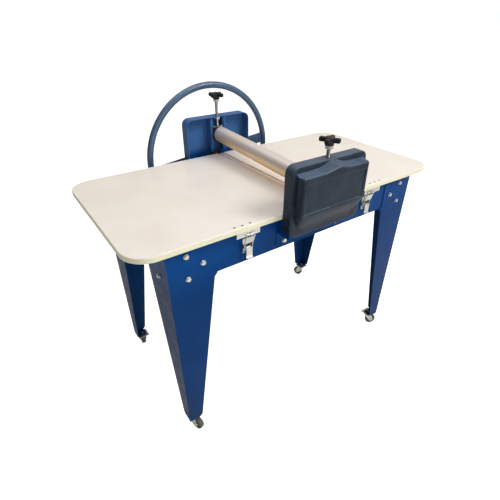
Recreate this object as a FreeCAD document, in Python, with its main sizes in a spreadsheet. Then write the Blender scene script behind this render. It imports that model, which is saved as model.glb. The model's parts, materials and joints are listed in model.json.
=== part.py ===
import FreeCAD, Part
import os
import re
import Sketcher

# A two-roller table press: two fixed half tables either side of a pair of rollers, a folded sheet
# stand on casters, a handwheel on the lower roller and two screws that set the upper roller.
# X runs along the table, Y along the rollers (front at -Y, handwheel at +Y), Z up from the floor.

DRIVING_SIZES = {
    # table
    "table_top": 913, "table_len": 1400, "table_wide": 680, "board_thick": 18, "board_corner": 85,
    "board_edge": 3, "board_gap": 36, "relief_lip": 3, "relief_back": 16,
    # sheet stand
    "sheet_thick": 3, "apron_deep": 136, "apron_flange": 26, "rail_deep": 90, "return_long": 95,
    "stand_half_len": 589, "stand_half_wide": 312, "notch_half": 34, "notch_deep": 48,
    "leg_top_wide": 165, "leg_foot_wide": 57,
    "leg_lean": 14, "leg_len": 819, "leg_toe": 10, "leg_hook": 12, "foot_plate": 45, "foot_thick": 4,
    # bolts
    "bolt_near": 0.42, "bolt_far": 0.76, "bolt_drop_high": 36, "bolt_drop_mid": 78, "bolt_drop_low": 120,
    "bolt_rad": 4, "bolt_across": 6.5, "bolt_head": 5.5, "bolt_seat": 12, "nut_high": 6.5,
    "bolt_washer_rad": 9, "bolt_washer": 1.6,
    # side frames
    "pan_half_wide": 165.2, "pan_corner": 30, "pan_top": 170.2, "pan_low": 85, "pan_deep_front": 36,
    "pan_deep_rear": 50, "pan_reach": 341, "tab_wide": 40, "tab_low": 140, "tab_bolt_x": 130,
    "tab_bolt_high": 43, "tab_bolt_low": 126,
    # rollers
    "lower_rad": 30, "upper_rad": 34, "roller_proud": 1, "roller_half_len": 331, "tube_wall": 5,
    "tube_plug": 12, "shaft_rad": 12.5, "run_fit": 0.05, "bearing_rad": 34, "bearing_thick": 14,
    # upper roller adjustment, stored with the rear end raised
    "block_y": 359, "front_lift": 62, "rear_lift": 91.8, "block_half_x": 30, "block_half_y": 13,
    "block_half_z": 28, "ball_rad": 19.9, "ball_half": 11.5, "groove_deep": 5, "rail_tongue": 8,
    "slide_fit": 0.3, "rail_thick": 10, "screw_rad": 7, "disc_rad": 11, "disc_thick": 5,
    "washer_thick": 1.5, "keeper_thick": 3, "cap_rad": 2, "knob_rise": 168, "knob_reach": 36, "arm_wide": 17,
    "arm_high": 16, "hub_rad": 16, "hub_drop": 18, "jam_across": 12.5, "jam_high": 10, "knob_turn": -62,
    # front cover
    "cover_fit": 0.3, "cover_wall": 3.5, "cover_low": 80, "cover_back": 343, "cover_screw_low": 52,
    "cover_screw_rad": 2.5,
    "cover_step": 383, "cover_face": 416, "cover_corner": 28, "cover_inset": 14, "bulge_rad": 70,
    "face_top": 122, "face_low": 14, "brow_back": 152, "brow_front": 145, "bulge_axis": 102,
    # handwheel
    "wheel_rad": 320.5, "rim_rad": 14.5, "wheel_y": 428, "spoke_wide": 50, "spoke_thick": 8,
    "spoke_turn": 6.65, "wheel_hub_rad": 30, "wheel_hub_len": 26, "end_nut_across": 17,
    "end_nut_high": 11, "end_washer": 2.5,
    # toggle latches and strikes
    "latch_x": 296, "latch_wide": 30, "strike_x": 322, "strike_long": 92, "strike_drop": 22,
    "strike_thick": 2, "board_screw_pitch": 30, "board_screw_y": 326, "board_screw_rad": 4,
    "pivot_rad": 2.5, "pivot_out": 10, "pivot_low": 92, "eye_in": 5, "eye_low": 12, "wire_rad": 1.6,
    "hook_low": 31, "hook_out": 5, "hook_room": 2.2, "hook_wide": 14, "lever_long": 38, "lever_sheet": 2,
    "loop_plate_low": 0.42, "loop_plate_high": 0.8, "loop_plate": 1.2,
    # casters
    "swivel_x": 545, "swivel_y": 279, "caster_wheel_rad": 27, "caster_tread": 20, "caster_trail": 21,
    "fork_wall": 2.5, "fork_gap": 1.5, "swivel_gap": 1, "caster_axle_rad": 4, "race_deep": 9,
    "race_plate": 26, "wheel_boss": 10,
}
CASTER_YAW = {"front_left": -70, "front_right": -25, "rear_left": 80, "rear_right": 110}
LEG_SIGNS = {"front_left": (-1, -1), "front_right": (1, -1), "rear_left": (-1, 1), "rear_right": (1, 1)}
V = FreeCAD.Vector
Z_AXIS = V(0, 0, 1)
WORD = re.compile(r"[a-z][a-z_]*")

doc = FreeCAD.newDocument("TablePress")
sheet = doc.addObject("Spreadsheet::Sheet", "dims")
for row, (word, number) in enumerate(DRIVING_SIZES.items(), start=1):
    sheet.set("A%d" % row, word)
    sheet.set("B%d" % row, str(number))
    sheet.setAlias("B%d" % row, word)
doc.recompute()

nodes = []


def formula(text):
    """The text with each size's word pointing at its cell."""
    def cell(found):
        word = found.group(0)
        return "dims." + word if word in DRIVING_SIZES else word
    return WORD.sub(cell, str(text))


def value(text):
    return float(sheet.evalExpression(formula(text)))


def bind(obj, **properties):
    for name, text in properties.items():
        obj.setExpression(name, formula(text))
    return obj


def place(obj, at=("0", "0", "0"), turn=None):
    """Puts an object at three formulas; turn is an axis and an angle formula."""
    if turn:
        obj.Placement = FreeCAD.Placement(V(1, 0, 0), FreeCAD.Rotation(turn[0], 1))
        obj.setExpression("Placement.Rotation.Angle", formula(turn[1]))
    for letter, text in zip("xyz", at):
        obj.setExpression("Placement.Base." + letter, formula(text))
    return obj


def box(x, y, z):
    """A box between pairs of formulas on each axis."""
    obj = doc.addObject("Part::Box", "Box")
    bind(obj, Length="(%s) - (%s)" % (x[1], x[0]), Width="(%s) - (%s)" % (y[1], y[0]),
         Height="(%s) - (%s)" % (z[1], z[0]))
    return place(obj, (x[0], y[0], z[0]))


def rod(radius, length, at, axis="z"):
    """A cylinder that starts at a point and runs along +X, +Y or +Z."""
    obj = bind(doc.addObject("Part::Cylinder", "Rod"), Radius=radius, Height=length)
    turn = {"z": None, "y": (V(1, 0, 0), "-90"), "x": (V(0, 1, 0), "90")}[axis]
    return place(obj, at, turn)


def hexagon(across, high, at, axis="z"):
    obj = doc.addObject("Part::Prism", "Hexagon")
    obj.Polygon = 6
    bind(obj, Circumradius="(%s) / cos(30 deg)" % across, Height=high)
    turn = {"z": None, "y": (V(1, 0, 0), "-90"), "x": (V(0, 1, 0), "90")}[axis]
    return place(obj, at, turn)


def fuse(parts):
    obj = doc.addObject("Part::MultiFuse", "Union")
    obj.Shapes = parts
    obj.Refine = True
    return obj


def cut(base, tools):
    obj = doc.addObject("Part::Cut", "Difference")
    obj.Base = base
    obj.Tool = tools[0] if len(tools) == 1 else fuse(tools)
    obj.Refine = True
    return obj


def common(base, tool):
    obj = doc.addObject("Part::Common", "Overlap")
    obj.Base = base
    obj.Tool = tool
    return obj


def group(parts):
    obj = doc.addObject("Part::Compound", "Group")
    obj.Links = parts
    return obj


def mirrored(obj, normal):
    """The same piece on the other side of the middle plane."""
    twin = doc.addObject("Part::Mirroring", "Mirror")
    twin.Source = obj
    twin.Normal = normal
    return twin


def node(label, obj):
    obj.Label = label
    nodes.append(obj)
    return obj


def profile(body, plane, points):
    """A closed outline whose corners are held by formulas."""
    sketch = body.newObject("Sketcher::SketchObject", "Outline")
    role = [item for item in body.Origin.OriginFeatures if item.Role == plane + "_Plane"][0]
    sketch.AttachmentSupport = [(role, "")]
    sketch.MapMode = "FlatFace"
    spots = [V(value(u), value(v), 0) for u, v in points]
    count = len(spots)
    for i in range(count):
        sketch.addGeometry(Part.LineSegment(spots[i], spots[(i + 1) % count]), False)
    for i in range(count):
        sketch.addConstraint(Sketcher.Constraint("Coincident", i, 2, (i + 1) % count, 1))
    for i, (u, v) in enumerate(points):
        for kind, text, start in (("DistanceX", u, spots[i].x), ("DistanceY", v, spots[i].y)):
            index = sketch.addConstraint(Sketcher.Constraint(kind, -1, 1, i, 1, start))
            sketch.setExpression("Constraints[%d]" % index, formula(text))
    return sketch


def prism(plane, points, length, at=("0", "0", "0"), turn=None, flip=False, midplane=False):
    """A padded outline. The XZ plane's normal is -Y, so flip sends that pad along +Y."""
    body = doc.addObject("PartDesign::Body", "Pad")
    pad = body.newObject("PartDesign::Pad", "Thickness")
    pad.Profile = profile(body, plane, points)
    pad.Reversed = flip
    pad.Midplane = midplane
    bind(pad, Length=length)
    return place(body, at, turn)


def turned(points, at=("0", "0", "0"), turn=None):
    """A revolution about Z of an outline of (radius, height) corners."""
    body = doc.addObject("PartDesign::Body", "Turning")
    sketch = profile(body, "XZ", points)
    spin = body.newObject("PartDesign::Revolution", "Revolution")
    spin.Profile = sketch
    spin.ReferenceAxis = (sketch, ["V_Axis"])
    spin.Angle = 360
    return place(body, at, turn)


def soften(body, radius, pick, kind="Fillet"):
    """Rounds or bevels the edges that a test picks."""
    doc.recompute()
    base = body.Tip
    names = ["Edge%d" % i for i, edge in enumerate(base.Shape.Edges, start=1) if pick(edge)]
    feature = body.newObject("PartDesign::" + kind, kind)
    feature.Base = (base, names)
    bind(feature, **{"Radius" if kind == "Fillet" else "Size": radius})
    return body


def runs_along(edge, axis):
    start, end = edge.Vertexes[0].Point, edge.Vertexes[-1].Point
    return abs(abs((end - start).normalize().dot(axis)) - 1) < 1e-6 if start != end else False


def mid(edge):
    return edge.CenterOfMass


LOWER_AXIS = "table_top + roller_proud - lower_rad"
BOARD_LOW = "table_top - board_thick"
APRON_LOW = "table_top - board_thick - apron_deep"
LEG_LOW = "table_top - board_thick - leg_len"
FRONT_Z = "table_top + front_lift"
REAR_Z = "table_top + rear_lift"
FRONT_PAN_WEB = "(pan_reach + pan_deep_front)"
REAR_PAN_WEB = "(pan_reach + pan_deep_rear)"
COVER_HALF = "(pan_half_wide + cover_fit + cover_wall)"
COVER_TOP = "(table_top + pan_top + cover_fit + cover_wall)"
Y_TURN = (V(1, 0, 0), "-90")
# how far along a leg's face, as a share of its width, and how far below the boards its bolts are
BOLT_SPOTS = (("bolt_near", "bolt_drop_high"), ("bolt_far", "bolt_drop_mid"), ("bolt_near", "bolt_drop_low"))


# ---- table boards -------------------------------------------------------------------------------

def table_board():
    """The right half table. Its nip edge is cut back underneath to clear the lower roller."""
    near, far, side = "board_gap / 2", "table_len / 2", "table_wide / 2"
    outline = [(near, BOARD_LOW), (far, BOARD_LOW), (far, "table_top"), (near, "table_top")]
    body = prism("XZ", outline, "table_wide", ("0", side, "0"))
    soften(body, "board_corner", lambda e: runs_along(e, Z_AXIS) and mid(e).x > value(far) - 1)
    soften(body, "board_edge", lambda e: mid(e).z > value("table_top") - 0.1 and mid(e).x > value(near) + 1)
    relief = prism("XZ", [(near + " - 1", BOARD_LOW + " - 1"), (near + " + relief_back", BOARD_LOW + " - 1"),
                          (near + " + relief_back", BOARD_LOW), (near, "table_top - relief_lip"),
                          (near + " - 1", "table_top - relief_lip")],
                   "table_wide + 2", ("0", side + " + 1", "0"))
    holes = [rod("board_screw_rad", "board_thick + 2", (x, "-board_screw_y", BOARD_LOW + " - 1"))
             for x in board_screw_spots("")]
    return cut(body, [relief] + holes)


def board_screw_spots(sign):
    """X of the three screws through one board's front edge into its strike."""
    return [sign + "(strike_x + (%s))" % step for step in ("-board_screw_pitch", "0", "board_screw_pitch")]


right_board = table_board()
node("right_table_board", right_board)
node("left_table_board", mirrored(right_board, V(1, 0, 0)))


# ---- stand --------------------------------------------------------------------------------------

def apron():
    """The front side rail: a folded channel, notched in the middle for the rollers."""
    face = "-(stand_half_wide - sheet_thick)"
    ends = ("-(stand_half_len - sheet_thick - leg_lean / 4)", "stand_half_len - sheet_thick - leg_lean / 4")
    web = box(ends, (face, face + " + sheet_thick"), (APRON_LOW, BOARD_LOW))
    top = box(ends, (face, face + " + apron_flange"), (BOARD_LOW + " - sheet_thick", BOARD_LOW))
    foot = box(("-(stand_half_len - leg_top_wide)", "stand_half_len - leg_top_wide"),
               (face, face + " + apron_flange"), (APRON_LOW, APRON_LOW + " + sheet_thick"))
    notch = box(("-notch_half", "notch_half"), (face + " - 1", face + " + apron_flange + 1"),
                (BOARD_LOW + " - notch_deep", BOARD_LOW + " + 1"))
    holes = [rod("bolt_rad", "sheet_thick + 2", (x, face + " - 1", z), "y")
             for x, z in long_bolts() + tab_bolts()]
    returns = []
    under_rail = (APRON_LOW, BOARD_LOW + " - rail_deep - sheet_thick - 2")
    for end, inner in ((ends[0], ends[0] + " + sheet_thick"), (ends[1] + " - sheet_thick", ends[1])):
        returns.append(box((end, inner), (face, face + " + return_long"), under_rail))
        y, drop = end_bolts()[2]
        holes.append(rod("bolt_rad", "sheet_thick + 2", (end + " - 1", y, BOARD_LOW + " - " + drop), "x"))
    return cut(fuse([web, top, foot] + returns), [notch] + holes)


def long_bolts():
    """Bolt centres of the two legs on one long face, as formulas of X and Z."""
    return [(sign + "(stand_half_len - leg_top_wide * %s)" % across, BOARD_LOW + " - " + drop)
            for sign in ("-", "") for across, drop in BOLT_SPOTS]


def tab_bolts():
    return [(sign + "tab_bolt_x", "table_top - " + drop)
            for sign in ("-", "") for drop in ("tab_bolt_high", "tab_bolt_low")]


def end_bolts():
    """Bolt centres of one end face, as formulas of Y and of the drop below the boards."""
    return [(sign + "(stand_half_wide - leg_top_wide * %s)" % across, drop)
            for sign in ("-", "") for across, drop in BOLT_SPOTS]


def end_rail():
    """The left end rail, between the two side rails."""
    face = "-(stand_half_len - sheet_thick - leg_lean / 4)"
    ends = ("-(stand_half_wide - 2 * sheet_thick)", "stand_half_wide - 2 * sheet_thick")
    low = BOARD_LOW + " - rail_deep"
    between = "(stand_half_wide - apron_flange - sheet_thick)"
    web = box((face, face + " + sheet_thick"), ends, (low, BOARD_LOW + " - sheet_thick"))
    lip = box((face, face + " + apron_flange"), ends, (low, low + " + sheet_thick"))
    cap = box((face, face + " + apron_flange"), ("-" + between, between), (BOARD_LOW + " - sheet_thick", BOARD_LOW))
    holes = [rod("bolt_rad", "sheet_thick + 2", (face + " - 1", y, BOARD_LOW + " - " + drop), "x")
             for y, drop in end_bolts() if drop != "bolt_drop_low"]
    return cut(fuse([web, lip, cap]), holes)


def leg_face(corner, toe, drop, low):
    """One tapering face of a leg, hooked over at the rail that ends at a drop below the boards."""
    shoulder = corner + " + leg_top_wide"
    at = [(corner, "0"), (toe, "leg_len"), (toe + " + leg_foot_wide - leg_toe", "leg_len"),
          (toe + " + leg_foot_wide", "leg_len - leg_toe"), (shoulder, drop + " + leg_hook + 2"),
          (shoulder + " + leg_hook", drop), (shoulder, drop + " - leg_hook / 2"), (shoulder, "0")]
    return [(across, "%s - (%s)" % (low, down)) for across, down in at]


def leg():
    """The front left leg: a tapering folded angle with a plate across its foot for the caster."""
    corner, toe, face = "-stand_half_len", "-(stand_half_len - leg_lean)", "-stand_half_wide"
    long_plate = prism("XZ", leg_face(corner, toe, "apron_deep", BOARD_LOW), "sheet_thick",
                       ("0", face + " + sheet_thick", "0"))
    end_plate = prism("YZ", leg_face(face, face, "rail_deep", "0"), "sheet_thick", (corner, "0", BOARD_LOW),
                      (V(0, 1, 0), "-atan(leg_lean / leg_len)"))
    foot = box((toe + " + sheet_thick / 2", toe + " + foot_plate"),
               (face + " + sheet_thick / 2", face + " + foot_plate"), (LEG_LOW, LEG_LOW + " + foot_thick"))
    trims = [box((corner + " - 5", corner + " + leg_top_wide"), (face + " - 5", "0"), span)
             for span in ((LEG_LOW + " - 10", LEG_LOW), (BOARD_LOW, BOARD_LOW + " + 10"))]
    holes = [rod("bolt_rad", "3 * sheet_thick", (x, face + " - sheet_thick", z), "y")
             for x, z in long_bolts()[:3]]
    holes += [rod("bolt_rad", "4 * sheet_thick", (corner + " - sheet_thick", y, BOARD_LOW + " - " + drop), "x")
              for y, drop in end_bolts()[:3]]
    holes.append(rod("bolt_rad + 0.5", "foot_thick + 2", ("-swivel_x", "-swivel_y", LEG_LOW + " - 1")))
    return cut(fuse([long_plate, end_plate, foot]), trims + holes)


front_apron = node("front_apron", apron())
node("rear_apron", mirrored(front_apron, V(0, 1, 0)))
left_rail = node("left_end_rail", end_rail())
node("right_end_rail", mirrored(left_rail, V(1, 0, 0)))
front_left_leg = node("front_left_leg", leg())
front_right_leg = node("front_right_leg", mirrored(front_left_leg, V(1, 0, 0)))
node("rear_left_leg", mirrored(front_left_leg, V(0, 1, 0)))
node("rear_right_leg", mirrored(front_right_leg, V(0, 1, 0)))


def bolt_y(x, y, z, grip):
    """A hexagon bolt and its washer, whose head stands out to -Y from a face at y."""
    head = hexagon("bolt_across", "bolt_head", (x, "(%s) - bolt_head - bolt_washer" % y, z), "y")
    washer = rod("bolt_washer_rad", "bolt_washer", (x, "(%s) - bolt_washer" % y, z), "y")
    shank = rod("bolt_rad - run_fit", "(%s) + bolt_seat" % grip, (x, y, z), "y")
    return fuse([head, washer, shank])


def nut_y(x, y, z):
    """A nut whose near face is at y."""
    return cut(hexagon("bolt_across", "nut_high", (x, y, z), "y"),
               [rod("bolt_rad", "nut_high + 2", (x, "(%s) - 1" % y, z), "y")])


def end_fixing(y, drop):
    """A bolt through the leaning end face of a left leg and the end rail, and its nut."""
    z = BOARD_LOW + " - " + drop
    outer = "-(stand_half_len - leg_lean * (%s - bolt_washer_rad) / leg_len)" % drop
    inner = "-(stand_half_len - 2 * sheet_thick - leg_lean / 4)"
    head = hexagon("bolt_across", "bolt_head", (outer + " - bolt_head - bolt_washer", y, z), "x")
    washer = rod("bolt_washer_rad", "bolt_washer", (outer + " - bolt_washer", y, z), "x")
    shank = rod("bolt_rad - run_fit", "3 * sheet_thick + bolt_seat", (outer, y, z), "x")
    nut = cut(hexagon("bolt_across", "nut_high", (inner, y, z), "x"),
              [rod("bolt_rad", "nut_high + 2", (inner + " - 1", y, z), "x")])
    return fuse([head, washer, shank]), nut


def frame_fixings():
    """The bolts and nuts of the legs, the rails and the side frames' tabs."""
    front_spots = long_bolts() + tab_bolts()
    front_bolts = [bolt_y(x, "-stand_half_wide", z, "2 * sheet_thick") for x, z in front_spots]
    front_nuts = [nut_y(x, "-(stand_half_wide - 2 * sheet_thick)", z) for x, z in front_spots]
    left_pairs = [end_fixing(y, drop) for y, drop in end_bolts()]
    bolts = front_bolts + [mirrored(item, V(0, 1, 0)) for item in front_bolts]
    nuts = front_nuts + [mirrored(item, V(0, 1, 0)) for item in front_nuts]
    for bolt, nut in left_pairs:
        bolts += [bolt, mirrored(bolt, V(1, 0, 0))]
        nuts += [nut, mirrored(nut, V(1, 0, 0))]
    return group(bolts), group(nuts)


frame_bolts, frame_nuts = frame_fixings()
node("frame_bolts", frame_bolts)
node("frame_nuts", frame_nuts)


# ---- side frames --------------------------------------------------------------------------------

def cover_screw_start():
    """The outer end of the line on which the cover's two side screws lie."""
    return "-%s - 2" % COVER_HALF, "-(cover_back + 22)", "table_top - cover_screw_low"


def side_pan(deep):
    """The front side frame: a folded pan, open towards the table, tabbed onto the side rail."""
    web = "(pan_reach + %s)" % deep
    rail_face = "(stand_half_wide - sheet_thick)"
    low, top = "table_top - pan_low", "table_top + pan_top"
    outer = prism("XZ", [("-pan_half_wide", low), ("pan_half_wide", low), ("pan_half_wide", top),
                         ("-pan_half_wide", top)], "%s - %s" % (web, rail_face), ("0", "-" + rail_face, "0"))
    soften(outer, "pan_corner", lambda e: runs_along(e, V(0, 1, 0)) and mid(e).z > value(top) - 1)
    inside, under = "(pan_half_wide - sheet_thick)", top + " - sheet_thick"
    inner = prism("XZ", [("-" + inside, low + " - 1"), (inside, low + " - 1"), (inside, under),
                         ("-" + inside, under)],
                  "%s - %s - sheet_thick + 1" % (web, rail_face), ("0", "-%s + 1" % rail_face, "0"))
    soften(inner, "pan_corner - sheet_thick", lambda e: runs_along(e, V(0, 1, 0)) and mid(e).z > value(top) - 5)
    clear = box(("-pan_half_wide - 1", "pan_half_wide + 1"), ("-pan_reach", "-%s + 1" % rail_face),
                (BOARD_LOW + " - 1.5", top + " + 1"))
    shell = cut(outer, [inner, clear])
    tabs = []
    for sign in ("-", ""):
        span = (sign + "pan_half_wide", sign + "(pan_half_wide - sheet_thick - tab_wide)")
        tabs.append(box(tuple(sorted(span, key=value)), ("-%s - sheet_thick" % rail_face, "-" + rail_face),
                        ("table_top - tab_low", BOARD_LOW + " - 1.5")))
    holes = [rod("bolt_rad", "3 * sheet_thick", (x, "-%s - 2 * sheet_thick" % rail_face, z), "y")
             for x, z in tab_bolts()]
    holes.append(rod("shaft_rad + 4", "2 * sheet_thick", ("0", "-%s - 1" % web, LOWER_AXIS), "y"))
    holes.append(rod("screw_rad + 1", "2 * sheet_thick", ("0", "-block_y", top + " - sheet_thick - 1")))
    if deep == "pan_deep_front":
        holes.append(rod("cover_screw_rad", "2 * %s + 4" % COVER_HALF, cover_screw_start(), "x"))
    return cut(fuse([shell] + tabs), holes)


node("front_side_pan", side_pan("pan_deep_front"))
node("rear_side_pan", mirrored(side_pan("pan_deep_rear"), V(0, 1, 0)))


def guide_rail(web):
    """The right hand rail of one bearing block: a bar on the pan's web with a tongue along it."""
    low, high = "table_top + bearing_rad - lower_rad + 5", "table_top + pan_top - sheet_thick - slide_fit"
    near = "block_half_x + slide_fit"
    bar = box((near, near + " + rail_thick"), ("-(%s - sheet_thick)" % web, "-(block_y - block_half_y + 4)"),
              (low, high))
    tongue = box(("block_half_x - groove_deep + slide_fit", near + " + 1"),
                 ("-(block_y + rail_tongue / 2)", "-(block_y - rail_tongue / 2)"), (low, high))
    return fuse([bar, tongue])


front_rail = guide_rail(FRONT_PAN_WEB)
rear_rail = mirrored(guide_rail(REAR_PAN_WEB), V(0, 1, 0))
node("block_guide_rails", group([front_rail, mirrored(front_rail, V(1, 0, 0)), rear_rail,
                                 mirrored(rear_rail, V(1, 0, 0))]))


def lower_bearing(web):
    """A flanged plain bearing on the inner face of a pan's web."""
    face = "-(%s - sheet_thick)" % web
    bore = rod("shaft_rad + run_fit", "bearing_thick + 20", ("0", face + " - 6", LOWER_AXIS), "y")
    flange = rod("bearing_rad", "bearing_thick * 0.55", ("0", face, LOWER_AXIS), "y")
    nose = rod("bearing_rad * 0.6", "bearing_thick", ("0", face, LOWER_AXIS), "y")
    spigot = rod("shaft_rad + 4 - slide_fit", "sheet_thick", ("0", face + " - sheet_thick", LOWER_AXIS), "y")
    return cut(fuse([flange, nose, spigot]), [bore])


node("lower_bearings", group([lower_bearing(FRONT_PAN_WEB),
                              mirrored(lower_bearing(REAR_PAN_WEB), V(0, 1, 0))]))


def screw_bush(side):
    """The threaded bush under the top flange of a pan."""
    high = "table_top + pan_top - sheet_thick"
    bush = hexagon("jam_across", "12", ("0", side + "block_y", high + " - 12"))
    return cut(bush, [rod("screw_rad + run_fit", "14", ("0", side + "block_y", high + " - 13"))])


node("screw_bushes", group([screw_bush("-"), screw_bush("")]))


# ---- front cover --------------------------------------------------------------------------------

def cover_solid(wall):
    """The cover's outer form, or with a wall taken off all round, the hollow inside it."""
    half = "(%s - %s)" % (COVER_HALF, wall)
    top, low = "(%s - %s)" % (COVER_TOP, wall), "table_top - cover_low - (%s)" % wall
    step = "(cover_step - %s)" % wall
    tray = prism("XZ", [("-" + half, low), (half, low), (half, top), ("-" + half, top)],
                 "%s - cover_back + (%s) / 3" % (step, wall), ("0", "-cover_back + (%s) / 3" % wall, "0"))
    soften(tray, "cover_corner", lambda e: runs_along(e, V(0, 1, 0)))
    face = "-(cover_face - %s)" % wall
    side = [("-%s + 8" % step, "table_top + brow_back - (%s)" % wall),
            (face + " + 4", "table_top + brow_front - (%s)" % wall),
            (face, "table_top + face_top - (%s) / 2" % wall), (face, "table_top + face_low + (%s) / 3" % wall),
            ("-%s" % step, "table_top - cover_low + 22 + (%s)" % wall),
            ("-%s + 8" % step, "table_top - cover_low + 22 + (%s)" % wall)]
    reach = "(%s - cover_inset - %s)" % (COVER_HALF, wall)
    nose = prism("YZ", side, "2 * %s" % reach, ("-" + reach, "0", "0"))
    soften(nose, "cover_corner / 2", lambda e: at_end(e, value(reach)) and mid(e).y < value("-" + step) - 1)
    bulge = doc.addObject("Part::Cone", "Bulge")
    bind(bulge, Radius1="bulge_rad - (%s)" % wall, Radius2="bulge_rad - 18 - (%s)" % wall,
         Height="cover_face - cover_step + 3")
    place(bulge, ("0", "-%s + 5" % step, "table_top + bulge_axis"), (V(1, 0, 0), "90"))
    return fuse([tray, nose, bulge])


def at_end(edge, reach):
    """True for an edge that lies in an end face of a pad drawn from 0 to twice reach."""
    spread = edge.BoundBox
    return spread.XLength < 1e-6 and (abs(spread.XMin) < 1e-3 or abs(spread.XMin - 2 * reach) < 1e-3)


def front_cover():
    inside = "%s - cover_wall" % COVER_HALF
    opening = box(("-(%s)" % inside, inside), ("-cover_step + cover_wall", "-cover_back + 1"),
                  ("table_top - cover_low - 1", "table_top"))
    screw_hole = rod("screw_rad + 1.5", "cover_wall * 4", ("0", "-block_y", COVER_TOP + " - 3 * cover_wall"))
    side_holes = rod("cover_screw_rad", "2 * %s + 4" % COVER_HALF, cover_screw_start(), "x")
    return cut(cover_solid("0"), [cover_solid("cover_wall"), opening, screw_hole, side_holes])


def cover_screw(sign):
    """A screw through one side of the cover into the side frame's flange."""
    start = cover_screw_start()
    inner = "(pan_half_wide - sheet_thick - 2)"
    shank = rod("cover_screw_rad - run_fit", "%s - %s + 1" % (COVER_HALF, inner), (inner, start[1], start[2]), "x")
    head = rod("2 * cover_screw_rad", "1.2 * cover_screw_rad", (COVER_HALF, start[1], start[2]), "x")
    screw = fuse([shank, head])
    return mirrored(screw, V(1, 0, 0)) if sign < 0 else screw


node("front_cover", front_cover())
node("cover_screws", group([cover_screw(-1), cover_screw(1)]))


# ---- lower roller and handwheel -----------------------------------------------------------------

def roller_tube(radius, bore_end):
    """A tube with closed ends, drawn along Z and centred on its middle."""
    half = "roller_half_len"
    inner = radius + " - tube_wall"
    return [(bore_end, "-" + half), (radius + " - 1", "-" + half), (radius, "-%s + 1" % half),
            (radius, half + " - 1"), (radius + " - 1", half), (bore_end, half), (bore_end, half + " - tube_plug"),
            (inner, half + " - tube_plug"), (inner, "-%s + tube_plug" % half), (bore_end, "-%s + tube_plug" % half)]


node("lower_roller_tube", turned(roller_tube("lower_rad", "shaft_rad"), ("0", "0", LOWER_AXIS), Y_TURN))
SHAFT_FRONT = "-(%s + 8)" % FRONT_PAN_WEB
HUB_END = "wheel_y + wheel_hub_len / 2"
NUT_SHANK = "shaft_rad * 0.64"
lower_shaft = turned([("0", SHAFT_FRONT), ("shaft_rad - 1", SHAFT_FRONT), ("shaft_rad", SHAFT_FRONT + " + 1"),
                      ("shaft_rad", HUB_END), (NUT_SHANK, HUB_END), (NUT_SHANK, HUB_END + " + end_nut_across"),
                      ("0", HUB_END + " + end_nut_across")],
                     ("0", "0", LOWER_AXIS), Y_TURN)
node("lower_roller_shaft", lower_shaft)


def handwheel():
    """Rim, flat spoke right across it, hub, and the nut and washer on the shaft's end."""
    ring = bind(doc.addObject("Part::Torus", "Ring"), Radius1="wheel_rad", Radius2="rim_rad")
    place(ring, ("0", "wheel_y", LOWER_AXIS), Y_TURN)
    reach = "wheel_rad - rim_rad + 1.2"
    hub_neck = "wheel_hub_rad * 0.7"
    bar = prism("XY", [("-(%s)" % reach, "-spoke_wide / 2"), (reach, "-spoke_wide / 2"),
                       (reach, "spoke_wide / 2"), ("-(%s)" % reach, "spoke_wide / 2")], "spoke_thick", midplane=True)
    bored = cut(bar, [rod(hub_neck + " + run_fit", "spoke_thick + 2", ("0", "0", "-spoke_thick / 2 - 1"))])
    spoke = group([bored])
    spoke.Placement = FreeCAD.Placement(V(0, 0, 0), FreeCAD.Rotation(V(0, 1, 0), -value("spoke_turn"))
                                        * FreeCAD.Rotation(V(1, 0, 0), 90))
    for letter, text in zip("xyz", ("0", "wheel_y", LOWER_AXIS)):
        spoke.setExpression("Placement.Base." + letter, formula(text))
    socket = bind(doc.addObject("Part::Torus", "Socket"), Radius1="wheel_rad", Radius2="rim_rad")
    place(socket, ("0", "wheel_y", LOWER_AXIS), Y_TURN)
    trimmed = cut(spoke, [socket])
    half = "wheel_hub_len / 2"
    hub = turned([("shaft_rad", "-" + half), (hub_neck, "-" + half), (hub_neck, "spoke_thick / 2"),
                  ("wheel_hub_rad", "spoke_thick / 2"), ("wheel_hub_rad", half), ("shaft_rad", half)],
                 ("0", "wheel_y", LOWER_AXIS), Y_TURN)
    washer = cut(rod("end_nut_across", "end_washer", ("0", HUB_END, LOWER_AXIS), "y"),
                 [rod(NUT_SHANK, "end_washer + 2", ("0", HUB_END + " - 1", LOWER_AXIS), "y")])
    nut = cut(hexagon("end_nut_across * 0.75", "end_nut_high", ("0", HUB_END + " + end_washer", LOWER_AXIS), "y"),
              [rod(NUT_SHANK, "end_nut_high + 2", ("0", HUB_END + " + end_washer - 1", LOWER_AXIS), "y")])
    return ring, trimmed, hub, group([washer, nut])


rim, spoke, hub, hub_nut = handwheel()
node("handwheel_rim", rim)
node("handwheel_spoke", spoke)
node("handwheel_hub", hub)
node("handwheel_nut", hub_nut)


# ---- upper roller, its blocks and screws --------------------------------------------------------

TILT = "atan((rear_lift - front_lift) / (2 * block_y))"
SPAN = "sqrt((2 * block_y) ^ 2 + (rear_lift - front_lift) ^ 2)"
TILTED = (V(1, 0, 0), "-90 deg + " + TILT)
MID_LIFT = "table_top + (front_lift + rear_lift) / 2"

node("upper_roller_tube", turned(roller_tube("upper_rad", "shaft_rad"), ("0", "0", MID_LIFT), TILTED))
SHAFT_HALF = "(%s / 2 + 13)" % SPAN
upper_shaft = turned([("0", "-" + SHAFT_HALF), ("shaft_rad - 1", "-" + SHAFT_HALF),
                      ("shaft_rad", "-%s + 1" % SHAFT_HALF),
                      ("shaft_rad", SHAFT_HALF + " - 1"), ("shaft_rad - 1", SHAFT_HALF), ("0", SHAFT_HALF)],
                     ("0", "0", MID_LIFT), TILTED)
node("upper_roller_shaft", upper_shaft)


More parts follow.
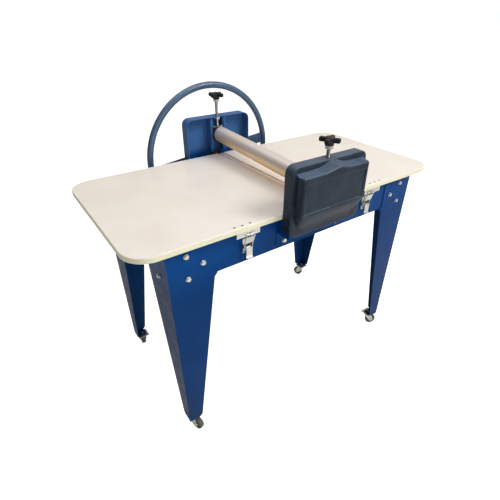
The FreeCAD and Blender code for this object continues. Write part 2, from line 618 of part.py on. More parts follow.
def bearing_ball(y, z):
    """A plain bearing with a ball-shaped outside, so that the roller can tilt in its block."""
    ball = doc.addObject("Part::Sphere", "Ball")
    bind(ball, Radius="ball_rad")
    slab = bind(doc.addObject("Part::Cylinder", "Width"), Radius="ball_rad + 2", Height="2 * ball_half")
    place(slab, ("0", "0", "-ball_half"))
    bore = bind(doc.addObject("Part::Cylinder", "Bore"), Radius="shaft_rad + run_fit", Height="4 * ball_half")
    place(bore, ("0", "0", "-2 * ball_half"))
    return place(group([cut(common(ball, slab), [bore])]), ("0", y, z), TILTED)


def bearing_block(y, z):
    """A bearing block, grooved for its rails, with a ball seat and a pocket for the screw's foot."""
    body = box(("-block_half_x", "block_half_x"), (y + " - block_half_y", y + " + block_half_y"),
               (z + " - block_half_z", z + " + block_half_z"))
    seat = place(bind(doc.addObject("Part::Sphere", "Seat"), Radius="ball_rad + 2 * run_fit"), ("0", y, z))
    eye = rod("shaft_rad + 3", "2 * block_half_y + 2", ("0", y + " - block_half_y - 1", z), "y")
    pocket = rod("disc_rad + 2 * run_fit", "block_half_z", ("0", y, z + " + block_half_z - disc_thick - washer_thick"))
    grooves = []
    for sign in ("-", ""):
        span = (sign + "(block_half_x - groove_deep)", sign + "(block_half_x + 1)")
        grooves.append(box(tuple(sorted(span, key=value)),
                           (y + " - rail_tongue / 2 - slide_fit", y + " + rail_tongue / 2 + slide_fit"),
                           (z + " - block_half_z - 1", z + " + block_half_z + 1")))
    return cut(body, [seat, eye, pocket] + grooves)


def screw_set(name, y, z):
    """One adjusting screw with its knob, jam nut, thrust washer and keeper plate."""
    top = z + " + block_half_z"
    foot = top + " - disc_thick"
    disc_top, screw_top = "disc_thick - 2 * run_fit", "knob_rise - block_half_z + disc_thick"
    screw = turned([("0", "0"), ("disc_rad", "0"), ("disc_rad", disc_top), ("screw_rad", disc_top),
                    ("screw_rad", screw_top + " - 1"), ("screw_rad - 1", screw_top), ("0", screw_top)],
                   ("0", y, foot))
    washer = cut(rod("disc_rad - run_fit", "washer_thick", ("0", y, foot + " - washer_thick")),
                 [rod("screw_rad * 0.5", "washer_thick + 2", ("0", y, foot + " - washer_thick - 1"))])
    cap_spots = ("-block_half_x + 12", "block_half_x - 12")
    plate = box(("-block_half_x + 6", "block_half_x - 6"), (y + " - block_half_y", y + " + block_half_y"),
                (top, top + " + keeper_thick"))
    drilled = [rod("screw_rad + slide_fit", "keeper_thick + 2", ("0", y, top + " - 1"))]
    drilled += [rod("cap_rad", "keeper_thick + 2", (x, y, top + " - 1")) for x in cap_spots]
    keeper = cut(plate, drilled)
    caps = []
    for x in cap_spots:
        caps.append(fuse([rod("2 * cap_rad - 0.5", "cap_rad + 0.5", (x, y, top + " + keeper_thick")),
                          rod("cap_rad - run_fit", "keeper_thick + 0.5", (x, y, top))]))
    under = z + " + knob_rise - hub_drop"
    jam = cut(hexagon("jam_across", "jam_high", ("0", y, under + " - jam_high - 0.5")),
              [rod("screw_rad", "jam_high + 2", ("0", y, under + " - jam_high - 1.5"))])
    hub_profile = [("screw_rad", "-hub_drop"), ("hub_rad - 2", "-hub_drop"), ("hub_rad - 1", "-hub_drop + 1"),
                   ("hub_rad", "-arm_high / 2"), ("hub_rad", "arm_high / 2"), ("hub_rad - 2", "arm_high / 2 + 2"),
                   ("0", "arm_high / 2 + 2"), ("0", "1"), ("screw_rad", "1")]
    hub_body = turned(hub_profile)
    arms = []
    for turn in ("knob_turn", "knob_turn + 90"):
        arm = prism("XY", [("-knob_reach", "-arm_wide / 2"), ("knob_reach", "-arm_wide / 2"),
                           ("knob_reach", "arm_wide / 2"), ("-knob_reach", "arm_wide / 2")], "arm_high",
                    ("0", "0", "-arm_high / 2"), (Z_AXIS, turn))
        arms.append(soften(arm, "arm_high * 0.3", lambda e: True))
    bore = rod("screw_rad", "hub_drop + 1", ("0", "0", "-hub_drop"))
    knob = place(group([cut(fuse([hub_body] + arms), [bore])]), ("0", y, z + " + knob_rise"))
    node(name + "_adjusting_screw", screw)
    node(name + "_thrust_washer", washer)
    node(name + "_keeper_plate", keeper)
    node(name + "_jam_nut", jam)
    node(name + "_knob", knob)
    return caps


front_caps = screw_set("front", "-block_y", FRONT_Z)
rear_caps = screw_set("rear", "block_y", REAR_Z)
node("front_keeper_screws", group(front_caps))
node("rear_keeper_screws", group(rear_caps))
node("front_bearing_block", bearing_block("-block_y", FRONT_Z))
node("rear_bearing_block", bearing_block("block_y", REAR_Z))
node("front_bearing_ball", bearing_ball("-block_y", FRONT_Z))
node("rear_bearing_ball", bearing_ball("block_y", REAR_Z))


# ---- strikes and toggle latches -----------------------------------------------------------------

PIVOT_Y = "(-stand_half_wide - pivot_out)"
PIVOT_Z = "(table_top - pivot_low)"
EYE_Y = "(-stand_half_wide - pivot_out + eye_in)"
EYE_Z = "(table_top - pivot_low - eye_low)"
STRIKE_FACE = "(board_screw_y + 10)"
HOOK_Y = "(-%s - hook_out)" % STRIKE_FACE
HOOK_Z = "(table_top - hook_low)"
LOOP_HALF = "(latch_wide / 2 + wire_rad + slide_fit)"


def strike():
    """The left strike: a plate under the board's edge with a lip down and a hook for the loop."""
    x = ("-strike_x + 18 - strike_long / 2", "-strike_x + 18 + strike_long / 2")
    flat = box(x, ("-" + STRIKE_FACE, "-(stand_half_wide + 2)"), (BOARD_LOW + " - strike_thick", BOARD_LOW))
    drop = box(x, ("-" + STRIKE_FACE, "-%s + strike_thick" % STRIKE_FACE),
               (BOARD_LOW + " - strike_drop", BOARD_LOW))
    hook_x = ("-latch_x - hook_wide / 2", "-latch_x + hook_wide / 2")
    under = HOOK_Z + " - wire_rad - slide_fit"
    far = HOOK_Y + " - wire_rad - hook_room - strike_thick"
    shelf = box(hook_x, (far, "-%s + 1" % STRIKE_FACE), (under + " - strike_thick", under))
    tip = box(hook_x, (far, far + " + strike_thick"), (under + " - strike_thick", HOOK_Z + " - 0.5"))
    holes = [rod("board_screw_rad", "strike_thick + 2", (x, "-board_screw_y", BOARD_LOW + " - strike_thick - 1"))
             for x in board_screw_spots("-")]
    return cut(fuse([flat, drop, shelf, tip]), holes)


def board_screws():
    """Three flush screws down through the left board's edge into the strike."""
    length = "board_thick + strike_thick + 1"
    return [rod("board_screw_rad", length, (x, "-board_screw_y", "table_top - (%s)" % length))
            for x in board_screw_spots("-")]


def latch_base():
    """The left latch's base on the side rail, with two ears and the lever's pin."""
    face = "-(stand_half_wide - sheet_thick)"
    half = "latch_wide / 2"
    plate = box(("-latch_x - " + half, "-latch_x + " + half), (face + " - 2", face),
                (PIVOT_Z + " - 26", PIVOT_Z + " + 30"))
    ears = [box(span, (PIVOT_Y + " - 5", face), (PIVOT_Z + " - 8", PIVOT_Z + " + 8"))
            for span in (("-latch_x - " + half, "-latch_x - %s + 2" % half),
                         ("-latch_x + %s - 2" % half, "-latch_x + " + half))]
    pin = rod("pivot_rad", "latch_wide", ("-latch_x - " + half, PIVOT_Y, PIVOT_Z), "x")
    rivets = [rod("3.5", "2", ("-latch_x", face + " - 4", z), "y") for z in (PIVOT_Z + " - 20", PIVOT_Z + " + 22")]
    return fuse([plate, pin] + ears + rivets)


def latch_lever(x):
    """A lever that hangs closed, with two cheeks that turn on the pin and carry the loop."""
    outer = PIVOT_Y + " - 8"
    tip = PIVOT_Z + " - lever_long"
    wide = "(latch_wide / 2 - lever_sheet - 2 * slide_fit)"
    front = box((x + " - " + wide, x + " + " + wide), (outer, outer + " + lever_sheet"), (tip, PIVOT_Z + " + 2"))
    tab = box((x + " - " + wide, x + " + " + wide), (outer + " - 6", outer + " + 1"), (tip, tip + " + lever_sheet"))
    cheeks = []
    for near, far in (("-" + wide, "-%s + lever_sheet" % wide), (wide + " - lever_sheet", wide)):
        span = (x + " + (%s)" % near, x + " + (%s)" % far)
        cheeks.append(box(span, (outer, PIVOT_Y + " + 5"), (EYE_Z + " - 5", PIVOT_Z + " + 5")))
        cheeks.append(box(span, (EYE_Y + " - 4", EYE_Y + " + 4"), (EYE_Z + " - 5", EYE_Z + " + 5")))
    bore = rod("pivot_rad + run_fit", "latch_wide", (x + " - latch_wide / 2", PIVOT_Y, PIVOT_Z), "x")
    eyes = rod("wire_rad + run_fit", "latch_wide", (x + " - latch_wide / 2", EYE_Y, EYE_Z), "x")
    return cut(fuse([front, tab] + cheeks), [bore, eyes])


def latch_loop(x):
    """A wire loop with a plate across it, from the lever's eyes to the strike's hook, drawn upright."""
    reach = "sqrt((%s - %s) ^ 2 + (%s - %s) ^ 2)" % (HOOK_Y, EYE_Y, HOOK_Z, EYE_Z)
    foot = rod("wire_rad", "2 * " + LOOP_HALF, ("-" + LOOP_HALF, "0", "0"), "x")
    bridge = rod("wire_rad", "2 * " + LOOP_HALF, ("-" + LOOP_HALF, "0", reach), "x")
    pieces = [foot, bridge]
    for sign in ("-", ""):
        pieces.append(rod("wire_rad", reach, (sign + LOOP_HALF, "0", "0")))
        for height in ("0", reach):
            knee = bind(doc.addObject("Part::Sphere", "Knee"), Radius="wire_rad")
            pieces.append(place(knee, (sign + LOOP_HALF, "0", height)))
    inner = LOOP_HALF + " + wire_rad / 2"
    pieces.append(box(("-" + inner, inner), ("-loop_plate / 2", "loop_plate / 2"),
                      ("loop_plate_low * " + reach, "loop_plate_high * " + reach)))
    slant = "atan((%s - %s) / (%s - %s))" % (EYE_Y, HOOK_Y, HOOK_Z, EYE_Z)
    return place(group([fuse(pieces)]), (x, EYE_Y, EYE_Z), (V(1, 0, 0), slant))


left_strike = strike()
node("strike_plates", group([left_strike, mirrored(left_strike, V(1, 0, 0))]))
left_screws = board_screws()
node("board_screws", group(left_screws + [mirrored(item, V(1, 0, 0)) for item in left_screws]))
left_base = latch_base()
node("latch_bases", group([left_base, mirrored(left_base, V(1, 0, 0))]))
for side, x in (("left", "-latch_x"), ("right", "latch_x")):
    node(side + "_latch_lever", latch_lever(x))
    node(side + "_latch_loop", latch_loop(x))


# ---- casters ------------------------------------------------------------------------------------

AXLE_Z = "caster_wheel_rad"
FORK_TOP = LEG_LOW + " - race_deep - swivel_gap"


def caster_mount():
    """The front left top plate with its ball race boss and kingpin."""
    x, y = "-swivel_x", "-swivel_y"
    plate = box((x + " - race_plate", x + " + race_plate"), (y + " - race_plate", y + " + race_plate"),
                (LEG_LOW + " - race_deep / 3", LEG_LOW))
    boss = rod("17", "2 * race_deep / 3", (x, y, LEG_LOW + " - race_deep"))
    rivet_low = FORK_TOP + " - fork_wall - 3"
    pin = rod("bolt_rad", "foot_thick + race_deep + swivel_gap + fork_wall + 4", (x, y, rivet_low + " + 1"))
    head = hexagon("bolt_across", "5", (x, y, LEG_LOW + " + foot_thick"))
    rivet = rod("bolt_across", "2", (x, y, rivet_low))
    return fuse([plate, boss, pin, head, rivet])


def caster_fork(x, y, yaw):
    """A trailing fork with its axle, drawn with the wheel towards +X and then turned to its yaw."""
    cheek_y = "(caster_tread / 2 + fork_gap)"
    crown = cut(rod("19", "fork_wall", ("0", "0", FORK_TOP + " - fork_wall")),
                [rod("bolt_rad + run_fit", "fork_wall + 2", ("0", "0", FORK_TOP + " - fork_wall - 1"))])
    side = [("-13", FORK_TOP), ("-13", FORK_TOP + " - 14"), ("caster_trail - 9", AXLE_Z + " - 7"),
            ("caster_trail + 7", AXLE_Z + " - 7"), ("caster_trail + 9", AXLE_Z + " + 4"), ("15", FORK_TOP)]
    near = prism("XZ", side, "fork_wall", ("0", "-" + cheek_y, "0"))
    far = prism("XZ", side, "fork_wall", ("0", cheek_y + " + fork_wall", "0"))
    axle = rod("caster_axle_rad", "2 * (%s + fork_wall)" % cheek_y,
               ("caster_trail", "-%s - fork_wall" % cheek_y, AXLE_Z), "y")
    heads = [rod("caster_axle_rad + 3", "3", ("caster_trail", start, AXLE_Z), "y")
             for start in ("-%s - fork_wall - 3" % cheek_y, cheek_y + " + fork_wall")]
    return place(group([fuse([crown, near, far, axle] + heads)]), (x, y, "0"), (Z_AXIS, str(yaw)))


def caster_wheel(x, y, yaw):
    """A wheel with a soft tread, drawn about Z and laid over onto the fork's axle."""
    bore, rise = "caster_axle_rad + run_fit", "caster_tread / 2 + 1"
    rim = "caster_wheel_rad - 6"
    upper = [(bore, rise), ("wheel_boss - 1", rise), ("wheel_boss", "caster_tread / 2 - 3"),
             (rim, "caster_tread / 2 - 3"), (rim + " + 1", "caster_tread / 2"),
             ("caster_wheel_rad - 2", "caster_tread / 2"), ("caster_wheel_rad", "caster_tread / 2 - 4")]
    lower = [(radius, "-(%s)" % height) for radius, height in upper]
    wheel = turned(lower + upper[::-1], ("caster_trail", "0", AXLE_Z), Y_TURN)
    return place(group([wheel]), (x, y, "0"), (Z_AXIS, str(yaw)))


front_left_mount = caster_mount()
front_right_mount = mirrored(front_left_mount, V(1, 0, 0))
node("caster_mounts", group([front_left_mount, front_right_mount, mirrored(front_left_mount, V(0, 1, 0)),
                             mirrored(front_right_mount, V(0, 1, 0))]))
for corner, (sign_x, sign_y) in LEG_SIGNS.items():
    spot = ("%d * swivel_x" % sign_x, "%d * swivel_y" % sign_y, CASTER_YAW[corner])
    node(corner + "_caster_fork", caster_fork(*spot))
    node(corner + "_caster_wheel", caster_wheel(*spot))


# ---- checks and export --------------------------------------------------------------------------

doc.recompute()
for obj in doc.Objects:
    if "Invalid" in obj.State or "Error" in obj.State:
        raise RuntimeError("%s (%s) did not build: %s" % (obj.Name, obj.Label, obj.State))
os.makedirs("parts", exist_ok=True)
for obj in nodes:
    shape = obj.Shape
    if shape.isNull() or not shape.isValid() or not shape.Solids:
        raise RuntimeError("%s has no valid solid" % obj.Label)
    shape.exportStep("parts/%s.step" % obj.Label)
    print("%-24s solids %2d  volume %10.0f mm3" % (obj.Label, len(shape.Solids), shape.Volume))
print("%d nodes" % len(nodes))
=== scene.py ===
import json
import math

import bmesh
import bpy
from mathutils import Matrix, Vector


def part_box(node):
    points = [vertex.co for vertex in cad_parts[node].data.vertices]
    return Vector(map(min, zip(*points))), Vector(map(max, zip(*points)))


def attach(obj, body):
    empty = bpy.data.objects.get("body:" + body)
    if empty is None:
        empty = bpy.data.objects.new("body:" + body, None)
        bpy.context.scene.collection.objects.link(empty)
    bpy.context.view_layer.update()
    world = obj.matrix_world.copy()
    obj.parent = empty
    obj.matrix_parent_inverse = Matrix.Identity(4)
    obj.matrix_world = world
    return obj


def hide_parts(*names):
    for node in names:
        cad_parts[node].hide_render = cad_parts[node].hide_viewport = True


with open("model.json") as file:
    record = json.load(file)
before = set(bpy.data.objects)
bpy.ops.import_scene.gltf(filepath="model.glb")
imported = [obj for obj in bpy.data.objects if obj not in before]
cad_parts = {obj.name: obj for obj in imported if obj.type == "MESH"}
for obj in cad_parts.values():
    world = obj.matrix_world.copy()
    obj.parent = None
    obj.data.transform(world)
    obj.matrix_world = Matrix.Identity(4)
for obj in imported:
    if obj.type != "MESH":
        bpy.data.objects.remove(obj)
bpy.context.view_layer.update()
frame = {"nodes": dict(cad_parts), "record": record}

NODES = frame["nodes"]
TABLE_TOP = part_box("left_table_board")[1].z
TAU = 2 * math.pi
PAINTED_LIGHT_LOW, PAINTED_LIGHT_HIGH = 0.91, 0.94        # painted light: the enamel is painted paler above the table
SHADE_LOW, SHADE_HIGH = 0.70, 0.84      # painted shade: and darker down the legs


# ---- materials ----------------------------------------------------------------------------------

class Paint:
    """A Principled material with short calls for the nodes it is built from."""

    def __init__(self, name, **sockets):
        self.material = bpy.data.materials.new(name)
        self.material.use_nodes = True
        self.tree = self.material.node_tree
        self.shader = self.tree.nodes["Principled BSDF"]
        for socket, value in sockets.items():
            self.shader.inputs[socket.replace("_", " ")].default_value = value
        self.coords = self.node("ShaderNodeTexCoord").outputs["Object"]
        self.normal = None

    def node(self, kind, inputs=None, **settings):
        made = self.tree.nodes.new(kind)
        for key, value in settings.items():
            setattr(made, key, value)
        for key, value in (inputs or {}).items():
            if isinstance(value, bpy.types.NodeSocket):
                self.tree.links.new(value, made.inputs[key])
            else:
                made.inputs[key].default_value = value
        return made

    def noise(self, scale, detail=3, stretch=(1, 1, 1), rough=0.5, kind="Fac"):
        place = self.node("ShaderNodeMapping", {"Vector": self.coords, "Scale": stretch})
        return self.node("ShaderNodeTexNoise", {"Vector": place.outputs[0], "Scale": scale,
                                                "Detail": detail, "Roughness": rough}).outputs[kind]

    def cells(self, scale, stretch=(1, 1, 1)):
        place = self.node("ShaderNodeMapping", {"Vector": self.coords, "Scale": stretch})
        return self.node("ShaderNodeTexVoronoi", {"Vector": place.outputs[0],
                                                  "Scale": scale}).outputs["Distance"]

    def span(self, value, low, high, to_low=0.0, to_high=1.0):
        """value from low..high laid onto to_low..to_high, and held at the ends."""
        return self.node("ShaderNodeMapRange", {"Value": value, "From Min": low, "From Max": high,
                                                "To Min": to_low, "To Max": to_high}).outputs[0]

    def maths(self, operation, first, second=0.0, third=0.0):
        return self.node("ShaderNodeMath", {0: first, 1: second, 2: third}, operation=operation).outputs[0]

    def mix(self, share, first, second):
        return self.node("ShaderNodeMix", {0: share, 6: first, 7: second}, data_type="RGBA").outputs[2]

    def along(self, axis, of="position"):
        source = self.coords if of == "position" else self.node("ShaderNodeNewGeometry").outputs["Normal"]
        return self.node("ShaderNodeSeparateXYZ", {0: source}).outputs[axis]

    def edges(self, radius, low=0.02, high=0.25):
        """1 near a sharp edge and 0 on a flat, from how far a rounded normal leans from the true one."""
        true = self.node("ShaderNodeNewGeometry").outputs["Normal"]
        rounded = self.node("ShaderNodeBevel", {"Radius": radius}, samples=6).outputs[0]
        lean = self.node("ShaderNodeVectorMath", {0: true, 1: rounded}, operation="DOT_PRODUCT")
        return self.span(self.maths("SUBTRACT", 1.0, lean.outputs["Value"]), low, high)

    def bump(self, height, strength, distance):
        inputs = {"Height": height, "Strength": strength, "Distance": distance}
        if self.normal is not None:
            inputs["Normal"] = self.normal
        self.normal = self.node("ShaderNodeBump", inputs).outputs[0]

    def finish(self, colour=None, rough=None, metal=None):
        for socket, source in (("Base Color", colour), ("Roughness", rough), ("Metallic", metal),
                               ("Normal", self.normal)):
            if source is not None:
                self.tree.links.new(source, self.shader.inputs[socket])
        return self.material


def rgb(red, green, blue):
    """A linear colour from 0-255 screen values."""
    def linear(value):
        value /= 255
        return value / 12.92 if value <= 0.04045 else ((value + 0.055) / 1.055) ** 2.4
    return linear(red), linear(green), linear(blue), 1.0


def laminate():
    """White laminate tops with a pale edge band and a raw underside."""
    p = Paint("white_laminate", Coat_Weight=0.15, Coat_Roughness=0.25)
    cloud = p.noise(5, 4, rough=0.6)
    speck = p.noise(900, 2)
    white = p.mix(p.span(cloud, 0.35, 0.7), rgb(240, 236, 232), rgb(233, 228, 223))
    white = p.mix(p.span(speck, 0.60, 0.72, 0, 0.2), white, rgb(216, 210, 202))
    scuffs = p.noise(26, 5, (1, 9, 1), rough=0.7)
    white = p.mix(p.span(scuffs, 0.66, 0.78, 0, 0.28), white, rgb(200, 196, 190))
    band = p.mix(p.noise(60, 3), rgb(240, 240, 214), rgb(226, 228, 196))
    band = p.mix(p.span(p.noise(130, 4, (1, 1, 3)), 0.62, 0.72, 0, 0.3), band, rgb(170, 160, 130))
    up = p.along(2, "normal")
    side = p.span(p.maths("ABSOLUTE", up), 0.35, 0.85, 1, 0)
    chips = p.mix(p.noise(420, 3, rough=0.8), rgb(190, 165, 125), rgb(148, 120, 84))
    colour = p.mix(p.span(up, -0.5, -0.6), p.mix(side, white, band), chips)
    p.bump(p.noise(1400, 2), 0.12, 0.0003)
    p.bump(p.noise(14, 2), 0.05, 0.004)
    return p.finish(colour, p.span(p.noise(40, 4), 0.3, 0.7, 0.28, 0.42))


def enamel(name, deep, light, dirt, low, high, tint, sheen, painted_light=0.0, shade=0.0):
    """Sprayed enamel with faint orange peel, dust between heights low and high, and worn edges.

    Of the last two, the first is a painted light, how much paler it is above the table, and the second a painted
    shade, how much darker down the legs.
    """
    p = Paint(name, Specular_IOR_Level=sheen, Specular_Tint=tint)
    tone = p.mix(p.span(p.noise(3.2, 4, rough=0.6), 0.3, 0.72), deep, light)
    height = p.along(2)
    patches = p.span(p.noise(18, 5, (1, 1, 0.4), rough=0.7), 0.3, 0.7)
    dust = p.maths("MULTIPLY", p.span(height, low, high, 1, 0), patches)
    tone = p.mix(p.maths("MULTIPLY", dust, 0.55), tone, dirt)
    # painted light: the enamel made paler above the table, where the open pan catches the light
    tone = p.mix(p.span(height, PAINTED_LIGHT_LOW, PAINTED_LIGHT_HIGH, 0, painted_light), tone, rgb(84, 128, 180))
    # painted shade: the enamel made darker down the legs, under the table
    tone = p.mix(p.span(height, SHADE_HIGH, SHADE_LOW, 0, shade), tone, rgb(4, 26, 54))
    worn = p.maths("MULTIPLY", p.edges(0.0012), p.span(p.noise(240, 4, rough=0.8), 0.50, 0.62))
    tone = p.mix(p.maths("MULTIPLY", worn, 0.35), tone, rgb(110, 124, 150))
    p.bump(p.noise(420, 2), 0.07, 0.0004)
    return p.finish(tone, p.span(p.noise(30, 4), 0.3, 0.7, 0.30, 0.44))


def ground_steel():
    """Roller steel: ground round its axis, with faint rings, blotches of yellowed oil, and a painted warm
    reflection on the faces that look down.
    """
    p = Paint("roller_steel", Metallic=0.5, Specular_IOR_Level=0.8)
    rings = p.noise(160, 4, (0.02, 14, 0.02), rough=0.7)
    blotch = p.noise(9, 4, (1, 0.6, 1), rough=0.65)
    colour = p.mix(p.span(blotch, 0.42, 0.70), rgb(240, 234, 240), rgb(236, 224, 208))
    colour = p.mix(p.span(rings, 0.62, 0.78, 0, 0.35), colour, rgb(206, 198, 194))
    # painted reflection: faces that look down are painted warm, as if they mirrored warm light from below
    painted_warm_reflection = p.span(p.along(2, "normal"), 0.55, -0.25)
    colour = p.mix(p.maths("MULTIPLY", painted_warm_reflection, 0.85), colour, rgb(250, 212, 150))
    p.bump(rings, 0.16, 0.0002)
    return p.finish(colour, p.span(p.maths("ADD", rings, blotch), 0.7, 1.3, 0.34, 0.52))


def turned_steel():
    """Bright turned steel, with tool rings and a little staining."""
    p = Paint("turned_steel", Metallic=1.0)
    stain = p.noise(60, 4, rough=0.7)
    colour = p.mix(p.span(stain, 0.45, 0.72), rgb(172, 172, 174), rgb(116, 108, 98))
    grain = p.noise(900, 3, (1, 1, 0.2))
    p.bump(grain, 0.15, 0.0002)
    return p.finish(colour, p.span(stain, 0.3, 0.7, 0.26, 0.46))


def zinc():
    """Zinc plate: cool grey crystals with a soft sheen and a few dull spots."""
    p = Paint("zinc_plate", Metallic=1.0)
    spangle = p.cells(260)
    dull = p.noise(90, 4, rough=0.7)
    colour = p.mix(p.span(spangle, 0.0, 0.6), rgb(238, 241, 238), rgb(212, 214, 208))
    colour = p.mix(p.span(dull, 0.58, 0.78, 0, 0.6), colour, rgb(160, 156, 144))
    p.bump(p.noise(700, 3), 0.14, 0.0002)
    return p.finish(colour, p.span(dull, 0.3, 0.7, 0.26, 0.46))


def bronze():
    """Oiled bearing bronze, brown where it is dry."""
    p = Paint("bearing_bronze", Metallic=1.0)
    patch = p.noise(70, 4, rough=0.7)
    colour = p.mix(p.span(patch, 0.35, 0.7), rgb(176, 132, 74), rgb(96, 70, 44))
    p.bump(p.noise(800, 3), 0.2, 0.0002)
    return p.finish(colour, p.span(patch, 0.3, 0.7, 0.3, 0.5))


def black_iron():
    """Blackened cast iron with a sandy skin."""
    p = Paint("block_iron", Metallic=0.6)
    skin = p.noise(420, 5, rough=0.7)
    colour = p.mix(skin, rgb(62, 62, 66), rgb(32, 32, 34))
    worn = p.maths("MULTIPLY", p.edges(0.0012), 0.5)
    colour = p.mix(worn, colour, rgb(120, 118, 114))
    p.bump(skin, 0.35, 0.0004)
    return p.finish(colour, p.span(skin, 0.3, 0.7, 0.42, 0.62))


def moulded(name, dark, light, scuff, grain, rough_low, rough_high, wear=0.55, dust=0.5):
    """Moulded plastic with a fine grain, cloudy colour, a painted highlight on upward faces and pale scuffed
    edges; the dust argument sets how strong that painted highlight is.
    """
    p = Paint(name, Specular_IOR_Level=0.22, Specular_Tint=(0.72, 0.86, 1.0, 1))
    cloud = p.noise(14, 5, rough=0.65)
    colour = p.mix(p.span(cloud, 0.35, 0.7), dark, light)
    # painted highlight: upward faces painted paler and bluer, as if lit from above
    settled = p.maths("MULTIPLY", p.span(p.along(2, "normal"), 0.05, 0.9), p.span(cloud, 0.25, 0.6, 0.5, 1))
    colour = p.mix(p.maths("MULTIPLY", settled, dust), colour, scuff)
    rub = p.maths("MULTIPLY", p.edges(0.004, 0.01, 0.16), p.span(p.noise(120, 5, rough=0.75), 0.42, 0.66))
    colour = p.mix(p.maths("MULTIPLY", rub, wear), colour, scuff)
    streak = p.noise(60, 4, (1, 1, 0.08), rough=0.75)
    colour = p.mix(p.span(streak, 0.66, 0.76, 0, 0.25), colour, scuff)
    p.bump(p.noise(grain, 3), 0.22, 0.0004)
    p.bump(p.noise(35, 3), 0.08, 0.002)
    return p.finish(colour, p.span(cloud, 0.3, 0.7, rough_low, rough_high))


def rubber():
    """Grey caster tread, dusty, over a darker core."""
    p = Paint("caster_rubber")
    dust = p.noise(220, 5, rough=0.7)
    colour = p.mix(p.span(dust, 0.35, 0.7), rgb(62, 60, 60), rgb(120, 116, 112))
    p.bump(p.noise(900, 3), 0.3, 0.0003)
    return p.finish(colour, p.span(dust, 0.3, 0.7, 0.55, 0.75))


FINISHES = {
    "white_laminate": laminate(),
    # the blue enamel gets a painted light above the table and a painted shade down the legs
    "blue_paint": enamel("blue_enamel", rgb(7, 60, 126), rgb(16, 74, 142), rgb(44, 68, 98), 0.05, 0.5,
                         tint=(0.16, 0.42, 1.0, 1), sheen=0.12, painted_light=0.55, shade=0.4),
    "wheel_paint": enamel("wheel_enamel", rgb(52, 80, 114), rgb(70, 98, 128), rgb(84, 94, 108),
                          -1.0, -0.5, tint=(0.75, 0.9, 1.0, 1), sheen=0.9),
    # dust, passed or left at its default, sets each moulding's painted highlight on upward faces
    "charcoal_cover": moulded("charcoal_moulding", rgb(30, 40, 52), rgb(42, 55, 70),
                              rgb(104, 124, 148), 620, 0.28, 0.38),
    "black_plastic": moulded("black_moulding", rgb(24, 24, 27), rgb(40, 40, 44),
                             rgb(92, 92, 96), 800, 0.3, 0.42, wear=0.4, dust=0.12),
    "caster_rubber": rubber(),
    "roller_steel": ground_steel(),
    "turned_steel": turned_steel(),
    "bearing_bronze": bronze(),
    "block_iron": black_iron(),
    "zinc_plate": zinc(),
}
SLOT_OF = {entry["node"]: entry["material_slot"] for entry in frame["record"]["subparts"]}
BODY_OF = {node: body for body, nodes in frame["record"]["behaviour"]["bodies"].items()
           for node in nodes}
for name, obj in NODES.items():
    obj.data.materials.clear()
    obj.data.materials.append(FINISHES[SLOT_OF[name]])


def place(name, data):
    """A new object in the scene that holds data."""
    made = bpy.data.objects.new(name, data)
    bpy.context.scene.collection.objects.link(made)
    return made


def object_from(build, mesh_name, name):
    """A new object made of a bmesh, which is freed."""
    mesh = bpy.data.meshes.new(mesh_name)
    build.to_mesh(mesh)
    build.free()
    return place(name, mesh)


# ---- the moulded front cover --------------------------------------------------------------------

COVER_HALF = 0.1690     # half width of the tray
COVER_HIGH = 0.1740     # tray top above the table
COVER_LOW = -0.0800     # tray bottom above the table
COVER_BACK = -0.3433    # where the rim meets the side frame
COVER_WALL = 0.0030
TRAY_FACE = -0.3830
TRAY_ROUND = 0.004      # how far the tray's face is rounded over at its outline
NOSE_FACE = -0.4160
NOSE_HALF = 0.1450      # where the nose starts to round over
NOSE_EDGE = 0.0100      # and how far it takes to reach the tray
PANEL_HALF = 0.1375     # half width of the nose's sunk panel
PANEL_DEEP = 0.0030
CORNER = 0.028          # radius of the tray's corners
FOOT_FLAT = 0.105       # half width of the nose's straight foot
FOOT_ROUND = 0.045      # radius of the foot's ends
UPPER, LOWER = 0.135, -0.045    # past these heights the rows follow the tray's corners
SCREW_LINE = -0.359
SCREW_HOLE = 0.0085
PUNCH_LONG = 0.02


def bell(value):
    return math.exp(-1.2 * value * value)


def lay(value, points):
    """value looked up along a list of (from, to) pairs."""
    for (a, b), (c, d) in zip(points, points[1:]):
        if value <= c:
            return b + (d - b) * (value - a) / (c - a)
    return points[-1][1]


def inset(x, z):
    """How far a point of the front view lies inside the tray's rounded outline."""
    middle, half = (COVER_HIGH + COVER_LOW) / 2, (COVER_HIGH - COVER_LOW) / 2
    across, up = abs(x) - (COVER_HALF - CORNER), abs(z - middle) - (half - CORNER)
    return CORNER - math.hypot(max(across, 0), max(up, 0)) - min(max(across, up), 0)


def tray_face(x, z):
    """The tray's front face, rounded over at its outline."""
    lean = 1 - min(max(inset(x, z), 0) / TRAY_ROUND, 1)
    return TRAY_FACE + TRAY_ROUND * (1 - math.sqrt(1 - lean * lean))


